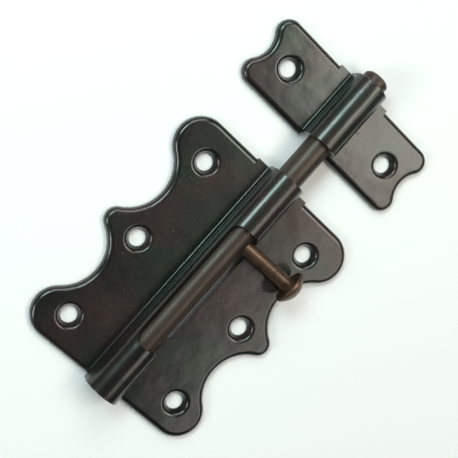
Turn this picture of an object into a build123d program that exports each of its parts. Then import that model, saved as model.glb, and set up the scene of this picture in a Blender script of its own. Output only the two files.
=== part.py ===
from build123d import *
import math
import os

# A decorative barrel bolt for a door, with its keeper, in millimetres.
# X runs along the bolt towards the keeper, Y across the plates, Z away from the door.
# The origin is the centre of the bolt plate's four corner screw holes, on the mounting plane.

# Pressed sheet, shared by the bolt plate and the keeper
SHEET = 1.2                  # thickness of the steel
PAN_HEIGHT = 2.5             # top face of a plate above the mounting plane
RIM_RADIUS = 1.8             # outside radius where the edge turns down
BEND_RADIUS = 0.8            # corner radius between a plate and its sleeve
TAB_HALF_WIDTH = 10.0        # stretch of a front edge, beside the sleeve, that stays flat
TAB_STEP = 0.4               # how far that stretch stands out past the turned edge
TAB_DEPTH = 3.0              # how far the flat stretch reaches back into the plate

# Screw holes, dished into both plates
SCREW_HOLE_DIAMETER = 5.0
DISH_DIAMETER = 7.5          # where the dish's wall would meet the top face, if left sharp
DISH_LIP = 0.5               # height of the hole's upper lip above the mounting plane
DISH_LAND = 0.9              # width of the flat ring under the lip
DISH_SHOULDER = 1.4          # rounding where the dish meets the top face
DISH_WALL = 0.7              # how far the dish's outside stands out past its top diameter

# Bolt plate outline, mirrored across the bolt's axis
HOLE_SPACING_LONG = 58.2     # first to last hole of a row, along the bolt
HOLE_SPACING_WIDE = 42.0     # row to row, across the bolt
FRONT_END = 40.3             # origin to the edge that faces the keeper
REAR_END = 38.7              # origin to the opposite edge
FRONT_LOBE_RADIUS = 8.4
FRONT_LOBE_Y = 25.1          # centre of a front corner lobe
REAR_LOBE_RADIUS = 7.9
REAR_LOBE_Y = 23.8           # centre of a rear corner lobe
CUSP_RADIUS = 3.9
CUSP_Y = 28.9                # centre of the small point beside a middle hole
FRONT_SCALLOP_FLOOR = 24.5   # deepest Y of the hollow between a front lobe and the point
REAR_SCALLOP_FLOOR = 23.8    # the same at the rear

# Rod
ROD_DIAMETER = 8.0
ROD_LIFT = 1.25              # gap between the rod and the mounting plane
ROD_TAIL = 8.0               # length still held in the rear sleeve when thrown
TIP_PROUD = 3.0              # length that stands out past the keeper's loop
TIP_CHAMFER = 0.8
TAIL_CHAMFER = 0.5

# Sleeves of the bolt plate, with an open window between them
BORE_CLEARANCE = 0.5         # radial, between the rod and a sleeve
SLEEVE_OVERHANG = 1.3        # each sleeve past the plate's end edge
SLEEVE_CORNER = 1.0          # rounding of the overhanging side walls
SLEEVE_LIP = 0.3             # rounding of a sleeve's outer end edge
FRONT_SLEEVE_LENGTH = 19.3
REAR_SLEEVE_LENGTH = 18.1
WINDOW_EDGE_ANGLE = 35.0     # window's far edge, round the rod from +Y
WINDOW_CORNER = 3.5
SILL_LENGTH = 6.0            # low wall left at the rear of the window
SLOT_MARGIN = 1.3            # handle slot's outer edge past the sleeve's side

# Handle: a round-headed stud that stands on the rod and lies over the plate
STEM_DIAMETER = 4.6
STEM_REACH = 21.0            # rod's axis to the underside of the head
SADDLE_CLEARANCE = 0.1       # between the stem's hollow end and the rod
HANDLE_FRONT_GAP = 1.3       # stem to the window's front edge when thrown
HEAD_DIAMETER = 10.5
HEAD_RIM = 0.9               # straight edge of the head below its dome
HEAD_HEIGHT = 3.7
HEAD_EDGE = 0.3              # rounding of the head's two edges
HEAD_REST_GAP = 0.3          # head's edge above the plate at rest

# Keeper
KEEPER_GAP = 13.6            # bolt plate's front edge to the keeper's near edge
KEEPER_WIDTH = 23.1          # along the bolt
KEEPER_HOLE_SPACING = 42.0   # across the bolt
KEEPER_CORNER_RADIUS = 4.1
KEEPER_CORNER_Y = 27.7       # centre of a corner rounding
KEEPER_NOTCH_RADIUS = 8.0    # hollow between two corners
LOOP_SETBACK = 1.4           # loop's near end behind the keeper's near edge
LOOP_OVERHANG = 1.5          # loop's far end past the keeper's far edge

# Places that follow from the sizes above
UNDERSIDE = PAN_HEIGHT - SHEET
ROD_RADIUS = ROD_DIAMETER / 2
AXIS_HEIGHT = ROD_RADIUS + ROD_LIFT
BORE_RADIUS = ROD_RADIUS + BORE_CLEARANCE
SLEEVE_RADIUS = BORE_RADIUS + SHEET
FOOT_HALF_WIDTH = SLEEVE_RADIUS + BEND_RADIUS + SHEET
ROD_AXIS = Plane(origin=(0, 0, AXIS_HEIGHT), x_dir=(0, 1, 0), z_dir=(1, 0, 0))

BARREL_FRONT = FRONT_END + SLEEVE_OVERHANG
BARREL_REAR = -REAR_END - SLEEVE_OVERHANG
WINDOW_FRONT = BARREL_FRONT - FRONT_SLEEVE_LENGTH
WINDOW_REAR = BARREL_REAR + REAR_SLEEVE_LENGTH
SLOT_REAR = WINDOW_REAR + SILL_LENGTH
HANDLE_X = WINDOW_FRONT - HANDLE_FRONT_GAP - STEM_DIAMETER / 2

KEEPER_NEAR = FRONT_END + KEEPER_GAP
KEEPER_FAR = KEEPER_NEAR + KEEPER_WIDTH
KEEPER_X = (KEEPER_NEAR + KEEPER_FAR) / 2
LOOP_NEAR = KEEPER_NEAR + LOOP_SETBACK
LOOP_FAR = KEEPER_FAR + LOOP_OVERHANG


def span_box(x, y, z):
    """Box between the two limits given along each axis."""
    size = [high - low for low, high in (x, y, z)]
    middle = [(high + low) / 2 for low, high in (x, y, z)]
    return Pos(*middle) * Box(*size)


def scallop_centre(point, point_radius, lobe, lobe_radius, floor):
    """Centre of the hollow that touches both roundings from outside and is deepest at the floor."""
    point_reach = (floor - point.Y)**2 - point_radius**2
    lobe_reach = (floor - lobe.Y)**2 - lobe_radius**2
    share = (lobe.Y + lobe_radius - floor) / (point.Y + point_radius - floor)
    offset = lobe.X**2 + lobe_reach - share * point_reach
    side = math.copysign(1, lobe.X)
    x = offset / (lobe.X + side * math.sqrt(lobe.X**2 - (1 - share) * offset))
    radius = (x**2 + point_reach) / (2 * (point.Y + point_radius - floor))
    return Vector(x, floor + radius)


def arc_about(centre, radius, start, end):
    """Short arc about a centre, from the direction of one point to that of another."""
    first = (start - centre).normalized()
    last = (end - centre).normalized()
    middle = (first + last).normalized()
    return ThreePointArc(centre + first * radius, centre + middle * radius, centre + last * radius)


def lobed_corner(end, lobe_y, lobe_radius, floor):
    """One quarter of the bolt plate's edge: half an end, a lobe, a scallop, half a point."""
    side = math.copysign(1, end)
    lobe = Vector(end - side * lobe_radius, lobe_y)
    cusp = Vector(0, CUSP_Y)
    scallop = scallop_centre(cusp, CUSP_RADIUS, lobe, lobe_radius, floor)
    corner = Vector(end, lobe_y)
    outermost = lobe + Vector(0, lobe_radius)
    return [
        Line((end, 0), corner),
        arc_about(lobe, lobe_radius, corner, outermost),
        arc_about(lobe, lobe_radius, outermost, scallop),
        arc_about(scallop, scallop.Y - floor, lobe, cusp),
        arc_about(cusp, CUSP_RADIUS, scallop, cusp + Vector(0, 1)),
    ]


def bolt_plate_outline():
    """Edge of the bolt plate on the mounting plane."""
    half = lobed_corner(FRONT_END, FRONT_LOBE_Y, FRONT_LOBE_RADIUS, FRONT_SCALLOP_FLOOR)
    half += lobed_corner(-REAR_END, REAR_LOBE_Y, REAR_LOBE_RADIUS, REAR_SCALLOP_FLOOR)
    return make_face(half + [mirror(curve, Plane.XZ) for curve in half])


def keeper_outline():
    """Edge of the keeper about its own centre, with a hollow between its corners at each end."""
    corner = Vector(KEEPER_WIDTH / 2 - KEEPER_CORNER_RADIUS, KEEPER_CORNER_Y)
    reach = KEEPER_CORNER_RADIUS + KEEPER_NOTCH_RADIUS
    notch = Vector(0, KEEPER_CORNER_Y + math.sqrt(reach**2 - corner.X**2))
    side = corner + Vector(KEEPER_CORNER_RADIUS, 0)
    outermost = corner + Vector(0, KEEPER_CORNER_RADIUS)
    quarter = [
        Line((side.X, 0), side),
        arc_about(corner, KEEPER_CORNER_RADIUS, side, outermost),
        arc_about(corner, KEEPER_CORNER_RADIUS, outermost, notch),
        arc_about(notch, KEEPER_NOTCH_RADIUS, corner, notch - Vector(0, 1)),
    ]
    half = quarter + [mirror(curve, Plane.YZ) for curve in quarter]
    return make_face(half + [mirror(curve, Plane.XZ) for curve in half])


def pan(outline):
    """Plate of even thickness whose edge turns down to the mounting plane."""
    shell = extrude(outline, PAN_HEIGHT)
    shell = fillet(shell.faces().sort_by(Axis.Z)[-1].edges(), RIM_RADIUS)
    hollow = extrude(offset(outline, -SHEET), UNDERSIDE)
    hollow = fillet(hollow.faces().sort_by(Axis.Z)[-1].edges(), RIM_RADIUS - SHEET)
    return shell - hollow


def with_front_tab(plate, front):
    """Trade the turned front edge beside the sleeve for a flat one that stands out a little."""
    inner = front - TAB_DEPTH
    width = (-TAB_HALF_WIDTH, TAB_HALF_WIDTH)
    cleared = plate - span_box((inner, front), width, (0, PAN_HEIGHT))
    return cleared + span_box((inner, front + TAB_STEP), width, (UNDERSIDE, PAN_HEIGHT))


def dished_hole():
    """Screw hole at the bottom of a dish pressed down to the mounting plane."""
    hole = SCREW_HOLE_DIAMETER / 2
    rim = DISH_DIAMETER / 2
    outside = rim + DISH_WALL
    blend = outside + DISH_SHOULDER
    profile = Polyline(
        (hole, 0),
        (hole + DISH_LAND, 0),
        (outside, UNDERSIDE),
        (blend, UNDERSIDE),
        (blend, PAN_HEIGHT),
        (rim, PAN_HEIGHT),
        (hole, DISH_LIP),
        close=True,
    )
    section = make_face(profile)
    shoulder = section.vertices().sort_by_distance((rim, PAN_HEIGHT))[0]
    section = fillet(shoulder, DISH_SHOULDER)
    ring = revolve(Plane.XZ * section, Axis.Z)
    return ring, Cylinder(blend, 4 * PAN_HEIGHT)


def with_dished_holes(plate, places):
    """Add a dished screw hole at each place."""
    ring, opening = dished_hole()
    for x, y in places:
        plate = plate - Pos(x, y) * opening + Pos(x, y) * ring
    return plate


def sleeve_section(with_feet):
    """Cross-section of a pressed sleeve: an arch on two side walls, open towards the door."""
    wall_height = AXIS_HEIGHT - UNDERSIDE
    wall = Pos(0, -wall_height / 2) * Rectangle(2 * SLEEVE_RADIUS, wall_height)
    upper_half = Pos(0, SLEEVE_RADIUS) * Rectangle(2 * SLEEVE_RADIUS, 2 * SLEEVE_RADIUS)
    arch = (Circle(SLEEVE_RADIUS) & upper_half) + wall
    bore = Circle(BORE_RADIUS) + Pos(0, -AXIS_HEIGHT / 2) * Rectangle(2 * BORE_RADIUS, AXIS_HEIGHT)
    if not with_feet:
        return arch - bore
    feet = Pos(0, SHEET / 2 - wall_height) * Rectangle(2 * FOOT_HALF_WIDTH, SHEET)
    section = arch + feet
    top = PAN_HEIGHT - AXIS_HEIGHT
    for side in (-1, 1):
        corner = section.vertices().sort_by_distance((side * SLEEVE_RADIUS, top))[0]
        section = fillet(corner, BEND_RADIUS)
    section -= bore
    for side in (-1, 1):
        mouth = section.vertices().sort_by_distance((side * BORE_RADIUS, -wall_height))[0]
        section = fillet(mouth, BEND_RADIUS + SHEET)
    return section


def sleeve(near, far):
    """Bare sleeve between two places along the bolt, with the feet of its end walls rounded."""
    body = extrude(ROD_AXIS.offset(near) * sleeve_section(with_feet=False), far - near)
    lower_corners = body.edges().filter_by(Axis.Y).group_by(Axis.Z)[0]
    body = fillet(lower_corners, SLEEVE_CORNER)
    arches = body.edges().filter_by(GeomType.CIRCLE).filter_by(lambda edge: edge.radius > BORE_RADIUS)
    return fillet(arches, SLEEVE_LIP)


def with_sleeve(plate, edges, ends):
    """Press a sleeve out of a plate, past its flat far edge and through its turned near edge."""
    near, far = edges
    foot = near + RIM_RADIUS
    height = (-PAN_HEIGHT, 2 * PAN_HEIGHT)
    mouth = span_box((near, foot), (-SLEEVE_RADIUS, SLEEVE_RADIUS), height)
    strip = span_box((foot, far), (-FOOT_HALF_WIDTH, FOOT_HALF_WIDTH), height)
    footed = extrude(ROD_AXIS.offset(foot) * sleeve_section(with_feet=True), far - foot)
    return plate - mouth - strip + footed + sleeve(*ends)


def window_tool():
    """What is cut from the arch between the two sleeves, so that the handle can turn over."""
    reach = 2 * SLEEVE_RADIUS
    edge = math.radians(WINDOW_EDGE_ANGLE)
    outline = Polyline(
        (0, 0),
        (reach * math.cos(edge), reach * math.sin(edge)),
        (reach, reach),
        (-reach, reach),
        (-reach, 0),
        close=True,
    )
    tool = extrude(ROD_AXIS.offset(WINDOW_REAR) * make_face(outline), WINDOW_FRONT - WINDOW_REAR)
    direction = (0, math.cos(edge), math.sin(edge))
    corners = tool.edges().filter_by(Axis((0, 0, 0), direction))
    return fillet(corners, WINDOW_CORNER)


def slot_tool():
    """What is cut from one side wall, so that the handle can lie flat and slide."""
    width = (-SLEEVE_RADIUS - SLOT_MARGIN, 0)
    return span_box((SLOT_REAR, WINDOW_FRONT), width, (-PAN_HEIGHT, AXIS_HEIGHT))


def bolt_plate():
    """Scalloped plate with the two sleeves that guide the rod."""
    plate = pan(bolt_plate_outline())
    plate = with_front_tab(plate, FRONT_END)
    rows = [-HOLE_SPACING_WIDE / 2, HOLE_SPACING_WIDE / 2]
    columns = [-HOLE_SPACING_LONG / 2, 0, HOLE_SPACING_LONG / 2]
    plate = with_dished_holes(plate, [(x, y) for x in columns for y in rows])
    edges = (-REAR_END, FRONT_END + TAB_STEP)
    plate = with_sleeve(plate, edges, (BARREL_REAR, BARREL_FRONT))
    return plate - window_tool() - slot_tool()


def keeper():
    """Small plate whose loop takes the end of the rod."""
    plate = Pos(KEEPER_X, 0) * pan(keeper_outline())
    plate = with_front_tab(plate, KEEPER_FAR)
    rows = [-KEEPER_HOLE_SPACING / 2, KEEPER_HOLE_SPACING / 2]
    plate = with_dished_holes(plate, [(KEEPER_X, y) for y in rows])
    edges = (KEEPER_NEAR, KEEPER_FAR + TAB_STEP)
    return with_sleeve(plate, edges, (LOOP_NEAR, LOOP_FAR))


def bolt_rod():
    """Round rod from inside the rear sleeve to just past the keeper's loop."""
    tail = WINDOW_REAR - ROD_TAIL
    tip = LOOP_FAR + TIP_PROUD
    rod = extrude(ROD_AXIS.offset(tail) * Circle(ROD_RADIUS), tip - tail)
    ends = rod.edges().filter_by(GeomType.CIRCLE).sort_by(Axis.X)
    rod = chamfer(ends[0], TAIL_CHAMFER)
    ends = rod.edges().filter_by(GeomType.CIRCLE).sort_by(Axis.X)
    return chamfer(ends[-1], TIP_CHAMFER)


def handle_tilt():
    """Angle above the plate, in degrees, at which the head's edge lies just over it."""
    rise = PAN_HEIGHT + HEAD_REST_GAP - AXIS_HEIGHT
    radius = HEAD_DIAMETER / 2
    return math.degrees(math.asin(rise / math.hypot(STEM_REACH, radius)) + math.atan2(radius, STEM_REACH))


def stud_head():
    """Domed head, standing on its flat underside."""
    radius = HEAD_DIAMETER / 2
    dome_rise = HEAD_HEIGHT - HEAD_RIM
    dome_radius = (radius**2 + dome_rise**2) / (2 * dome_rise)
    blank = Cylinder(radius, HEAD_HEIGHT, align=(Align.CENTER, Align.CENTER, Align.MIN))
    head = blank & Pos(0, 0, HEAD_HEIGHT - dome_radius) * Sphere(dome_radius)
    rims = head.edges().filter_by(GeomType.CIRCLE).sort_by(Axis.Z)
    return fillet(rims, HEAD_EDGE)


def handle():
    """Stud with a domed head; its inner end is hollowed to sit round the rod."""
    stem = Cylinder(STEM_DIAMETER / 2, STEM_REACH + HEAD_EDGE, align=(Align.CENTER, Align.CENTER, Align.MIN))
    rod_space = Rot(0, 90, 0) * Cylinder(ROD_RADIUS + SADDLE_CLEARANCE, 2 * STEM_DIAMETER)
    stud = stem - rod_space + Pos(0, 0, STEM_REACH) * stud_head()
    return Pos(HANDLE_X, 0, AXIS_HEIGHT) * Rot(90 - handle_tilt(), 0, 0) * stud


os.makedirs("parts", exist_ok=True)
export_step(bolt_plate(), "parts/bolt_plate.step")
export_step(bolt_rod(), "parts/bolt_rod.step")
export_step(handle(), "parts/handle.step")
export_step(keeper(), "parts/keeper.step")
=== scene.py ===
"""Finishes, light and camera for a pressed barrel bolt with its keeper."""

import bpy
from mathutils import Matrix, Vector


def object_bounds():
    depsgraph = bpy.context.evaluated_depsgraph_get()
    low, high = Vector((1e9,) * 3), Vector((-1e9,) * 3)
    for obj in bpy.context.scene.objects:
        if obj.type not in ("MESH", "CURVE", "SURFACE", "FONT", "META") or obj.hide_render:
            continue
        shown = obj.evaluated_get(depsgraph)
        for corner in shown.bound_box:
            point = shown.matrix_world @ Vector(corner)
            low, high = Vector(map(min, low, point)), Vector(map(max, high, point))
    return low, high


bl_info = {
    "name": "Barrel Bolt Finishes",
    "version": (1, 0, 0),
    "blender": (4, 5, 0),
    "location": "3D View > Sidebar > Barrel Bolt",
    "description": "Lacquer, browned steel and copper finishes and a studio for a barrel bolt",
    "category": "Object",
}

import math

import bmesh
import bpy
from bpy.props import FloatProperty, FloatVectorProperty, PointerProperty
from mathutils import Matrix, Quaternion, Vector

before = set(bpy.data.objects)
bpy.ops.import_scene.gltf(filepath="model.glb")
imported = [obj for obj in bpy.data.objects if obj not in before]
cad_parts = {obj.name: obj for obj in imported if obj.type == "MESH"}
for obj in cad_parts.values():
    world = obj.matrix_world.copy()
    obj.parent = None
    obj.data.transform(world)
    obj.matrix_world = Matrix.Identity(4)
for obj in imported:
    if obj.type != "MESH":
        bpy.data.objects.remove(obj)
CAD_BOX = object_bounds()
BOLT_CENTRE = (CAD_BOX[0] + CAD_BOX[1]) / 2
MOUNTING_PLANE = CAD_BOX[0].z
MM = 0.001

# Places of a Mix node's colour sockets, which share their names with its other sockets.
MIX_A, MIX_B, MIX_RESULT = 6, 7, 2
# Bands that a Wave texture draws in one unit at a scale of 1.
WAVE_BANDS = 20 / math.tau

# The camera's sensor width, and how near and far it sees, in metres.
SENSOR_MM = 36
NEAREST_SEEN, FARTHEST_SEEN = 0.01, 10.0


def linear(hex_colour):
    """An sRGB hex colour such as "#4A3F36" as a linear colour with full alpha."""
    parts = [int(hex_colour[i:i + 2], 16) / 255 for i in (1, 3, 5)]
    return (*(c / 12.92 if c <= 0.04045 else ((c + 0.055) / 1.055) ** 2.4 for c in parts), 1.0)


def per_metre(size_mm):
    """Texture scale that makes a pattern's features this many millimetres across."""
    return 1 / (size_mm * MM)


# ---------------------------------------------------------------- settings

class LacquerSettings(bpy.types.PropertyGroup):
    """Glossy lacquer over browned steel, on both pressed plates."""

    base: FloatVectorProperty(
        name="Browned steel", description="Colour of the steel under the lacquer",
        subtype="COLOR", size=4, default=linear("#2A2926"))
    warm: FloatVectorProperty(
        name="Red-brown bloom", description="Where the browning came out redder",
        subtype="COLOR", size=4, default=linear("#372C29"))
    green: FloatVectorProperty(
        name="Green bloom", description="Where the browning came out greener",
        subtype="COLOR", size=4, default=linear("#263027"))
    worn: FloatVectorProperty(
        name="Worn edge", description="Brighter metal that shows where edges have rubbed",
        subtype="COLOR", size=4, default=linear("#37342F"))
    edge_mm: FloatProperty(
        name="Edge wear (mm)", description="Width of the rubbed strip along an edge",
        default=0.35, min=0.05)
    bloom_mm: FloatProperty(
        name="Bloom size (mm)", description="Width of the colour patches",
        default=24.0, min=1.0)
    grain_mm: FloatProperty(
        name="Grain size (mm)", description="Fine unevenness of the sprayed coat",
        default=0.7, min=0.1)
    peel_mm: FloatProperty(
        name="Orange peel (mm)", description="Spacing of the ripples in the coat",
        default=2.2, min=0.2)
    wave_mm: FloatProperty(
        name="Press waviness (mm)",
        description="Width of the slow waves that pressing leaves in a flat",
        default=9.0, min=1.0)
    speck_mm: FloatProperty(
        name="Speck spacing (mm)", description="Distance between specks of dust in the coat",
        default=7.0, min=1.0)
    roughness: FloatProperty(
        name="Steel roughness", description="Roughness under the coat",
        default=0.36, min=0, max=1)


class RodSettings(bpy.types.PropertyGroup):
    """Satin browned rod."""

    base: FloatVectorProperty(
        name="Browned steel", description="Main colour of the rod",
        subtype="COLOR", size=4, default=linear("#4A413A"))
    warm: FloatVectorProperty(
        name="Warm cloud", description="Where the browning came out redder",
        subtype="COLOR", size=4, default=linear("#4A3B37"))
    rubbed: FloatVectorProperty(
        name="Rubbed steel", description="Colour along the drawn lines that sliding has brightened",
        subtype="COLOR", size=4, default=linear("#5D5247"))
    edge_mm: FloatProperty(
        name="Edge wear (mm)", description="Width of the rubbed strip along an edge",
        default=0.3, min=0.05)
    line_mm: FloatProperty(
        name="Drawn line width (mm)", description="Width of the lines left by drawing the rod",
        default=0.5, min=0.05)
    cloud_mm: FloatProperty(
        name="Cloud size (mm)", description="Width of the patches in the browning",
        default=9.0, min=1.0)
    roughness: FloatProperty(
        name="Roughness", description="Roughness of the browned surface",
        default=0.47, min=0, max=1)


class HandleSettings(bpy.types.PropertyGroup):
    """Antique copper on the turned stud."""

    base: FloatVectorProperty(
        name="Antique copper", description="Main colour of the stud",
        subtype="COLOR", size=4, default=linear("#705846"))
    dark: FloatVectorProperty(
        name="Dark patina", description="Colour of the patina left in patches",
        subtype="COLOR", size=4, default=linear("#453329"))
    rubbed: FloatVectorProperty(
        name="Rubbed copper", description="Brighter copper along the edges that fingers rub",
        subtype="COLOR", size=4, default=linear("#846A54"))
    edge_mm: FloatProperty(
        name="Edge wear (mm)", description="Width of the rubbed strip along an edge",
        default=0.4, min=0.05)
    ring_mm: FloatProperty(
        name="Turning mark spacing (mm)", description="Distance between faint turning marks",
        default=0.45, min=0.05)
    patch_mm: FloatProperty(
        name="Patina patch size (mm)", description="Width of the patches of patina",
        default=3.5, min=0.5)
    roughness: FloatProperty(
        name="Roughness", description="Roughness of the patina",
        default=0.44, min=0, max=1)


class StudioSettings(bpy.types.PropertyGroup):
    """Pale floor, soft lights and camera."""

    floor: FloatVectorProperty(
        name="Floor", description="Colour of the paper sweep under the bolt",
        subtype="COLOR", size=4, default=linear("#FAF9F6"))
    room: FloatProperty(
        name="Room light", description="Strength of the dim surroundings",
        default=0.06, min=0)
    window_power: FloatProperty(
        name="Window strip", description="Power of the cool strip that lights the sleeves' crowns",
        subtype="POWER", unit="POWER", default=1.45, min=0)
    key_power: FloatProperty(
        name="Warm key", description="Power of the warm light that the flats mirror dimly",
        subtype="POWER", unit="POWER", default=1.9, min=0)
    side_power: FloatProperty(
        name="Side light", description="Power of the light from the handle's side",
        subtype="POWER", unit="POWER", default=1.1, min=0)
    fill_power: FloatProperty(
        name="End fill", description="Power of the light from the keeper's end",
        subtype="POWER", unit="POWER", default=2.4, min=0)
    rear_power: FloatProperty(
        name="Rear edge light", description="Power of the low light that draws the rear rims",
        subtype="POWER", unit="POWER", default=1.5, min=0)
    azimuth: FloatProperty(
        name="Camera azimuth", description="Camera's place round the bolt",
        subtype="ANGLE", unit="ROTATION", default=math.radians(190.0))
    elevation: FloatProperty(
        name="Camera elevation", description="Camera's angle above the floor",
        subtype="ANGLE", unit="ROTATION", default=math.radians(71.0))
    roll: FloatProperty(
        name="Camera roll", description="Turn of the camera about its own view line",
        subtype="ANGLE", unit="ROTATION", default=math.radians(122.1))
    distance: FloatProperty(
        name="Camera distance", description="Camera to the point it looks at",
        subtype="DISTANCE", unit="LENGTH", default=0.2938)
    aim: FloatVectorProperty(
        name="Aim", description="Point looked at, from the middle of the bolt's mounting side",
        subtype="XYZ", unit="LENGTH", size=3, default=(-0.00105, 0.0018, 0.0))
    lens: FloatProperty(
        name="Lens (mm)", description="Focal length on a 36 mm sensor",
        default=78.6, min=10)


# ---------------------------------------------------------------- materials

def add_node(tree, kind, inputs=None, **settings):
    """Add one node with its settings. An input is a value or the socket that feeds it."""
    node = tree.nodes.new(kind)
    for name, value in settings.items():
        setattr(node, name, value)
    for name, value in (inputs or {}).items():
        if isinstance(value, bpy.types.NodeSocket):
            tree.links.new(value, node.inputs[name])
        else:
            node.inputs[name].default_value = value
    return node


def new_material(name):
    """An empty node material, its tree and the Object coordinates that its patterns lie in."""
    material = bpy.data.materials.new(name)
    material.use_nodes = True
    material.node_tree.nodes.clear()
    place = add_node(material.node_tree, "ShaderNodeTexCoord").outputs["Object"]
    return material, material.node_tree, place


def edge_mask(tree, width_mm):
    """1 along edges, within the given width, fading to 0 on the flats."""
    # Cosines of how far rounding the edges would turn the surface: hardly, and plainly.
    flat, rubbed = 0.98, 0.86
    rounded = add_node(tree, "ShaderNodeBevel", {"Radius": width_mm * MM}, samples=6)
    plain = add_node(tree, "ShaderNodeNewGeometry")
    same = add_node(
        tree, "ShaderNodeVectorMath",
        {0: rounded.outputs["Normal"], 1: plain.outputs["True Normal"]}, operation="DOT_PRODUCT")
    mask = add_node(
        tree, "ShaderNodeMapRange",
        {"Value": same.outputs["Value"], "From Min": flat, "From Max": rubbed})
    return mask.outputs["Result"]


def lacquered_steel(look):
    """Clear gloss lacquer sprayed over chemically browned pressed steel."""
    # Near-black sheet with crisp pale reflections on its bends, slow red and green clouds in
    # the brown, a faint orange peel and a few specks caught in the coat.
    material, tree, place = new_material("gloss_lacquer_over_browned_steel")
    wave_height, ripple_height, speck_height = 0.13 * MM, 0.02 * MM, 0.05 * MM
    # The green clouds are smaller than the red ones, and moved so that they don't match.
    green_size, green_shift = 0.7, (0.31, 0.17, 0.05)
    bloom = add_node(
        tree, "ShaderNodeTexNoise",
        {"Vector": place, "Scale": per_metre(look.bloom_mm), "Detail": 2, "Roughness": 0.45,
         "Distortion": 0.3})
    shifted = add_node(tree, "ShaderNodeMapping", {"Vector": place, "Location": green_shift})
    second_bloom = add_node(
        tree, "ShaderNodeTexNoise",
        {"Vector": shifted.outputs["Vector"], "Scale": per_metre(look.bloom_mm * green_size),
         "Detail": 2})
    # The real coat's grain is near 0.2 mm; it is drawn coarser so that it shows.
    grain = add_node(
        tree, "ShaderNodeTexNoise",
        {"Vector": place, "Scale": per_metre(look.grain_mm), "Detail": 2})
    peel = add_node(
        tree, "ShaderNodeTexNoise",
        {"Vector": place, "Scale": per_metre(look.peel_mm), "Detail": 2, "Roughness": 0.4})
    waves = add_node(
        tree, "ShaderNodeTexNoise",
        {"Vector": place, "Scale": per_metre(look.wave_mm), "Detail": 1})
    specks = add_node(
        tree, "ShaderNodeTexVoronoi", {"Vector": place, "Scale": per_metre(look.speck_mm)})

    warm = add_node(
        tree, "ShaderNodeMapRange",
        {"Value": bloom.outputs["Fac"], "From Min": 0.45, "From Max": 0.62})
    green = add_node(
        tree, "ShaderNodeMapRange",
        {"Value": second_bloom.outputs["Fac"], "From Min": 0.46, "From Max": 0.64})
    light_and_dark = add_node(
        tree, "ShaderNodeMapRange",
        {"Value": grain.outputs["Fac"], "From Min": 0.3, "From Max": 0.7, "To Min": 0.78,
         "To Max": 1.22})
    # Dust is finer than this: a speck is drawn about 0.5 mm across so that it shows.
    speck = add_node(
        tree, "ShaderNodeMapRange",
        {"Value": specks.outputs["Distance"], "From Min": 0.05, "From Max": 0.03})
    browned = add_node(
        tree, "ShaderNodeMix",
        {"Factor": warm.outputs["Result"], MIX_A: look.base, MIX_B: look.warm}, data_type="RGBA")
    clouded = add_node(
        tree, "ShaderNodeMix",
        {"Factor": green.outputs["Result"], MIX_A: browned.outputs[MIX_RESULT], MIX_B: look.green},
        data_type="RGBA")
    mottled = add_node(
        tree, "ShaderNodeHueSaturation",
        {"Color": clouded.outputs[MIX_RESULT], "Value": light_and_dark.outputs["Result"]})
    rubbed = add_node(
        tree, "ShaderNodeMix",
        {"Factor": edge_mask(tree, look.edge_mm), MIX_A: mottled.outputs["Color"],
         MIX_B: look.worn},
        data_type="RGBA")
    specked = add_node(
        tree, "ShaderNodeMix",
        {"Factor": speck.outputs["Result"], MIX_A: rubbed.outputs[MIX_RESULT], MIX_B: look.worn},
        data_type="RGBA")

    rough = add_node(
        tree, "ShaderNodeMapRange",
        {"Value": bloom.outputs["Fac"], "From Min": 0.3, "From Max": 0.7,
         "To Min": look.roughness - 0.07, "To Max": look.roughness + 0.09})
    waved = add_node(
        tree, "ShaderNodeBump", {"Height": waves.outputs["Fac"], "Distance": wave_height})
    rippled = add_node(
        tree, "ShaderNodeBump",
        {"Height": peel.outputs["Fac"], "Normal": waved.outputs["Normal"],
         "Distance": ripple_height})
    dusted = add_node(
        tree, "ShaderNodeBump",
        {"Height": speck.outputs["Result"], "Normal": rippled.outputs["Normal"],
         "Distance": speck_height})
    coated = add_node(
        tree, "ShaderNodeBsdfPrincipled",
        {"Base Color": specked.outputs[MIX_RESULT], "Roughness": rough.outputs["Result"],
         "Normal": dusted.outputs["Normal"], "Coat Normal": dusted.outputs["Normal"],
         "Metallic": 0.75, "Coat Weight": 0.9, "Coat Roughness": 0.17, "Coat IOR": 1.5})
    add_node(tree, "ShaderNodeOutputMaterial", {"Surface": coated.outputs["BSDF"]})
    return material


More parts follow.
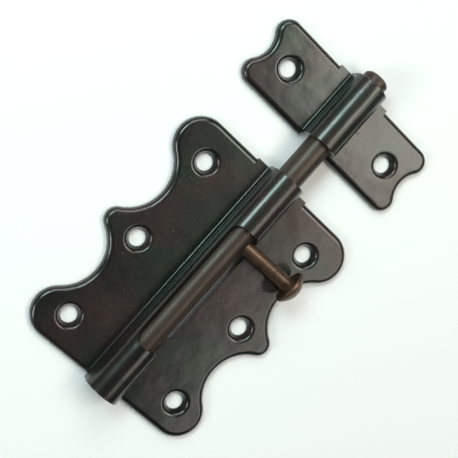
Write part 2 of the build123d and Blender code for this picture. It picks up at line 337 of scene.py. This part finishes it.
def browned_rod(look):
    """Chemically browned drawn rod, rubbed along its length by sliding."""
    # Long soft highlights with fine lines along the rod, over an olive-brown body.
    material, tree, place = new_material("satin_browned_drawn_rod")
    line_depth = 0.008 * MM
    # Squeezing the pattern's X by this much makes a line 33 times as long as it is wide.
    along_rod = (0.03, 1, 1)
    stretched = add_node(tree, "ShaderNodeMapping", {"Vector": place, "Scale": along_rod})
    # Real drawn lines are under 0.1 mm wide; they are drawn coarser so that they show.
    lines = add_node(
        tree, "ShaderNodeTexNoise",
        {"Vector": stretched.outputs["Vector"], "Scale": per_metre(look.line_mm), "Detail": 3})
    cloud = add_node(
        tree, "ShaderNodeTexNoise",
        {"Vector": place, "Scale": per_metre(look.cloud_mm), "Detail": 3})

    bright = add_node(
        tree, "ShaderNodeMapRange",
        {"Value": lines.outputs["Fac"], "From Min": 0.4, "From Max": 0.75, "To Max": 0.6})
    warm = add_node(
        tree, "ShaderNodeMapRange",
        {"Value": cloud.outputs["Fac"], "From Min": 0.45, "From Max": 0.7, "To Max": 0.8})
    lined = add_node(
        tree, "ShaderNodeMix",
        {"Factor": bright.outputs["Result"], MIX_A: look.base, MIX_B: look.rubbed},
        data_type="RGBA")
    clouded = add_node(
        tree, "ShaderNodeMix",
        {"Factor": warm.outputs["Result"], MIX_A: lined.outputs[MIX_RESULT], MIX_B: look.warm},
        data_type="RGBA")
    rubbed = add_node(
        tree, "ShaderNodeMix",
        {"Factor": edge_mask(tree, look.edge_mm), MIX_A: clouded.outputs[MIX_RESULT],
         MIX_B: look.rubbed},
        data_type="RGBA")

    rough = add_node(
        tree, "ShaderNodeMapRange",
        {"Value": cloud.outputs["Fac"], "From Min": 0.3, "From Max": 0.7,
         "To Min": look.roughness - 0.05, "To Max": look.roughness + 0.07})
    scratched = add_node(
        tree, "ShaderNodeBump", {"Height": lines.outputs["Fac"], "Distance": line_depth})
    browned = add_node(
        tree, "ShaderNodeBsdfPrincipled",
        {"Base Color": rubbed.outputs[MIX_RESULT], "Roughness": rough.outputs["Result"],
         "Normal": scratched.outputs["Normal"],
         "Metallic": 0.85, "Coat Weight": 0.15, "Coat Roughness": 0.3})
    add_node(tree, "ShaderNodeOutputMaterial", {"Surface": browned.outputs["BSDF"]})
    return material


def antique_copper(look):
    """Copper-plated turned stud with a brown patina under a thin lacquer."""
    # Warm, broken highlights on the stem and dome, with darker patches between.
    material, tree, place = new_material("antique_copper_patina")
    mark_depth, pit_depth = 0.006 * MM, 0.02 * MM
    patches = add_node(
        tree, "ShaderNodeTexNoise",
        {"Vector": place, "Scale": per_metre(look.patch_mm), "Detail": 4, "Roughness": 0.6})
    # The stud points along Y. Real turning marks are near 0.1 mm apart; they are drawn wider
    # so that they show.
    marks = add_node(
        tree, "ShaderNodeTexWave",
        {"Vector": place, "Scale": per_metre(look.ring_mm) / WAVE_BANDS, "Distortion": 1.5},
        bands_direction="Y")

    dull = add_node(
        tree, "ShaderNodeMapRange",
        {"Value": patches.outputs["Fac"], "From Min": 0.42, "From Max": 0.66})
    patinated = add_node(
        tree, "ShaderNodeMix",
        {"Factor": dull.outputs["Result"], MIX_A: look.base, MIX_B: look.dark}, data_type="RGBA")
    rubbed = add_node(
        tree, "ShaderNodeMix",
        {"Factor": edge_mask(tree, look.edge_mm), MIX_A: patinated.outputs[MIX_RESULT],
         MIX_B: look.rubbed},
        data_type="RGBA")

    rough = add_node(
        tree, "ShaderNodeMapRange",
        {"Value": patches.outputs["Fac"], "From Min": 0.35, "From Max": 0.65,
         "To Min": look.roughness - 0.04, "To Max": look.roughness + 0.12})
    turned = add_node(
        tree, "ShaderNodeBump",
        {"Height": marks.outputs["Fac"], "Strength": 0.6, "Distance": mark_depth})
    pitted = add_node(
        tree, "ShaderNodeBump",
        {"Height": patches.outputs["Fac"], "Normal": turned.outputs["Normal"],
         "Distance": pit_depth})
    copper = add_node(
        tree, "ShaderNodeBsdfPrincipled",
        {"Base Color": rubbed.outputs[MIX_RESULT], "Roughness": rough.outputs["Result"],
         "Normal": pitted.outputs["Normal"],
         "Metallic": 0.9, "Coat Weight": 0.25, "Coat Roughness": 0.2})
    add_node(tree, "ShaderNodeOutputMaterial", {"Surface": copper.outputs["BSDF"]})
    return material


def pale_paper(colour):
    """Matt white background paper."""
    # Even and without gloss, so that only the bolt's soft shadow shows on it.
    material, tree, place = new_material("matt_background_paper")
    # Real fibres are finer; they are drawn as faint 2 mm clouds, the least that could show.
    fibre_mm, fibre_height = 2.0, 0.01 * MM
    fibre = add_node(
        tree, "ShaderNodeTexNoise",
        {"Vector": place, "Scale": per_metre(fibre_mm), "Detail": 2})
    raised = add_node(
        tree, "ShaderNodeBump", {"Height": fibre.outputs["Fac"], "Distance": fibre_height})
    paper = add_node(
        tree, "ShaderNodeBsdfPrincipled",
        {"Base Color": colour, "Normal": raised.outputs["Normal"], "Roughness": 0.9,
         "Specular IOR Level": 0.1})
    add_node(tree, "ShaderNodeOutputMaterial", {"Surface": paper.outputs["BSDF"]})
    return material


def paint(node, material):
    """Give a CAD node one finish all over."""
    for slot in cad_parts[node].material_slots:
        slot.material = material


# ---------------------------------------------------------------- studio

def paper_sweep(colour):
    """Pale floor just under the plates' backs, far larger than the bolt."""
    half_side = 1.5
    clearance = 0.05 * MM
    sheet = bmesh.new()
    bmesh.ops.create_grid(
        sheet, x_segments=1, y_segments=1, size=half_side,
        matrix=Matrix.Translation((0, 0, MOUNTING_PLANE - clearance)))
    mesh = bpy.data.meshes.new("floor")
    sheet.to_mesh(mesh)
    sheet.free()
    mesh.materials.append(pale_paper(colour))
    floor = bpy.data.objects.new("floor", mesh)
    bpy.context.collection.objects.link(floor)


def softbox(name, azimuth, elevation, distance, size, power, colour):
    """Rectangular light aimed at the bolt. Azimuth turns from +X towards +Y, in degrees."""
    turn, rise = math.radians(azimuth), math.radians(elevation)
    across = math.cos(rise)
    away = Vector((math.cos(turn) * across, math.sin(turn) * across, math.sin(rise)))
    data = bpy.data.lights.new(name, "AREA")
    data.shape = "RECTANGLE"
    data.size, data.size_y = size
    data.energy = power
    data.color = linear(colour)[:3]
    light = bpy.data.objects.new(name, data)
    light.location = BOLT_CENTRE + away * distance
    light.rotation_mode = "QUATERNION"
    light.rotation_quaternion = (-away).to_track_quat("-Z", "Y")
    bpy.context.collection.objects.link(light)


def softboxes(look):
    """The five lights. Distances and sizes are in metres."""
    softbox("window_strip", azimuth=80, elevation=46, distance=0.6, size=(0.24, 0.16),
            power=look.window_power, colour="#DFFFFD")
    softbox("warm_key", azimuth=-33, elevation=55, distance=0.75, size=(0.34, 0.34),
            power=look.key_power, colour="#FFFEF4")
    softbox("handle_side", azimuth=-84, elevation=55, distance=0.8, size=(0.44, 0.32),
            power=look.side_power, colour="#FFFDF3")
    softbox("end_fill", azimuth=38, elevation=38, distance=0.8, size=(0.5, 0.44),
            power=look.fill_power, colour="#F6FCFF")
    softbox("rear_edge", azimuth=140, elevation=32, distance=0.7, size=(0.3, 0.2),
            power=look.rear_power, colour="#F2FAFF")


def aimed_camera(look):
    """Camera on a line through its aim, turned about that line. Azimuth 0 looks along +Y."""
    turn, rise = look.azimuth, look.elevation
    across = math.cos(rise)
    back = Vector((math.sin(turn) * across, -math.cos(turn) * across, math.sin(rise)))
    middle = Vector((BOLT_CENTRE.x, BOLT_CENTRE.y, MOUNTING_PLANE))
    along_view = (0, 0, 1)
    data = bpy.data.cameras.new("camera")
    data.sensor_width = SENSOR_MM
    data.lens = look.lens
    data.clip_start, data.clip_end = NEAREST_SEEN, FARTHEST_SEEN
    camera = bpy.data.objects.new("camera", data)
    camera.location = middle + Vector(look.aim) + back * look.distance
    camera.rotation_mode = "QUATERNION"
    upright = (-back).to_track_quat("-Z", "Y")
    camera.rotation_quaternion = upright @ Quaternion(along_view, look.roll)
    bpy.context.collection.objects.link(camera)
    bpy.context.scene.camera = camera


def dim_room(strength):
    """Even, dim surroundings that fill the shadows."""
    world = bpy.data.worlds.new("dim_room")
    world.use_nodes = True
    background = world.node_tree.nodes["Background"]
    background.inputs["Color"].default_value = (1, 1, 1, 1)
    background.inputs["Strength"].default_value = strength
    bpy.context.scene.world = world


# ---------------------------------------------------------------- operators

class BARRELBOLT_OT_lacquer_plates(bpy.types.Operator):
    """Lacquer the bolt plate and the keeper"""

    bl_idname = "barrelbolt.lacquer_plates"
    bl_label = "Lacquer the Plates"

    def execute(self, context):
        material = lacquered_steel(context.scene.barrelbolt_lacquer)
        paint("bolt_plate", material)
        paint("keeper", material)
        return {"FINISHED"}


class BARRELBOLT_OT_brown_rod(bpy.types.Operator):
    """Brown the sliding rod"""

    bl_idname = "barrelbolt.brown_rod"
    bl_label = "Brown the Rod"

    def execute(self, context):
        paint("bolt_rod", browned_rod(context.scene.barrelbolt_rod))
        return {"FINISHED"}


class BARRELBOLT_OT_copper_handle(bpy.types.Operator):
    """Plate the handle stud in antique copper"""

    bl_idname = "barrelbolt.copper_handle"
    bl_label = "Copper the Handle"

    def execute(self, context):
        paint("handle", antique_copper(context.scene.barrelbolt_handle))
        return {"FINISHED"}


class BARRELBOLT_OT_studio(bpy.types.Operator):
    """Set up the floor, the lights and the camera"""

    bl_idname = "barrelbolt.studio"
    bl_label = "Set Up the Studio"

    def execute(self, context):
        look = context.scene.barrelbolt_studio
        paper_sweep(look.floor)
        dim_room(look.room)
        softboxes(look)
        aimed_camera(look)
        context.scene.view_settings.view_transform = "Standard"
        return {"FINISHED"}


class BARRELBOLT_PT_finishes(bpy.types.Panel):
    """Buttons and settings for the barrel bolt's finishes and studio"""

    bl_label = "Barrel Bolt"
    bl_idname = "BARRELBOLT_PT_finishes"
    bl_space_type = "VIEW_3D"
    bl_region_type = "UI"
    bl_category = "Barrel Bolt"

    def draw(self, context):
        for operator, (scene_name, group) in zip(OPERATORS, SETTINGS.items()):
            box = self.layout.box()
            settings = getattr(context.scene, scene_name)
            for name in group.__annotations__:
                box.prop(settings, name)
            box.operator(operator.bl_idname)


# Each group of settings belongs to the operator in the same place.
SETTINGS = {
    "barrelbolt_lacquer": LacquerSettings,
    "barrelbolt_rod": RodSettings,
    "barrelbolt_handle": HandleSettings,
    "barrelbolt_studio": StudioSettings,
}
OPERATORS = (
    BARRELBOLT_OT_lacquer_plates,
    BARRELBOLT_OT_brown_rod,
    BARRELBOLT_OT_copper_handle,
    BARRELBOLT_OT_studio,
)
CLASSES = (*SETTINGS.values(), *OPERATORS, BARRELBOLT_PT_finishes)


def register():
    """Register the classes and hang each group of settings on the scene."""
    for cls in CLASSES:
        bpy.utils.register_class(cls)
    for name, group in SETTINGS.items():
        setattr(bpy.types.Scene, name, PointerProperty(type=group))


def unregister():
    """Undo register, in the opposite order."""
    for name in SETTINGS:
        delattr(bpy.types.Scene, name)
    for cls in reversed(CLASSES):
        bpy.utils.unregister_class(cls)


def main():
    """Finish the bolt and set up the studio."""
    register()
    bpy.ops.barrelbolt.lacquer_plates()
    bpy.ops.barrelbolt.brown_rod()
    bpy.ops.barrelbolt.copper_handle()
    bpy.ops.barrelbolt.studio()


if __name__ == "__main__":
    main()
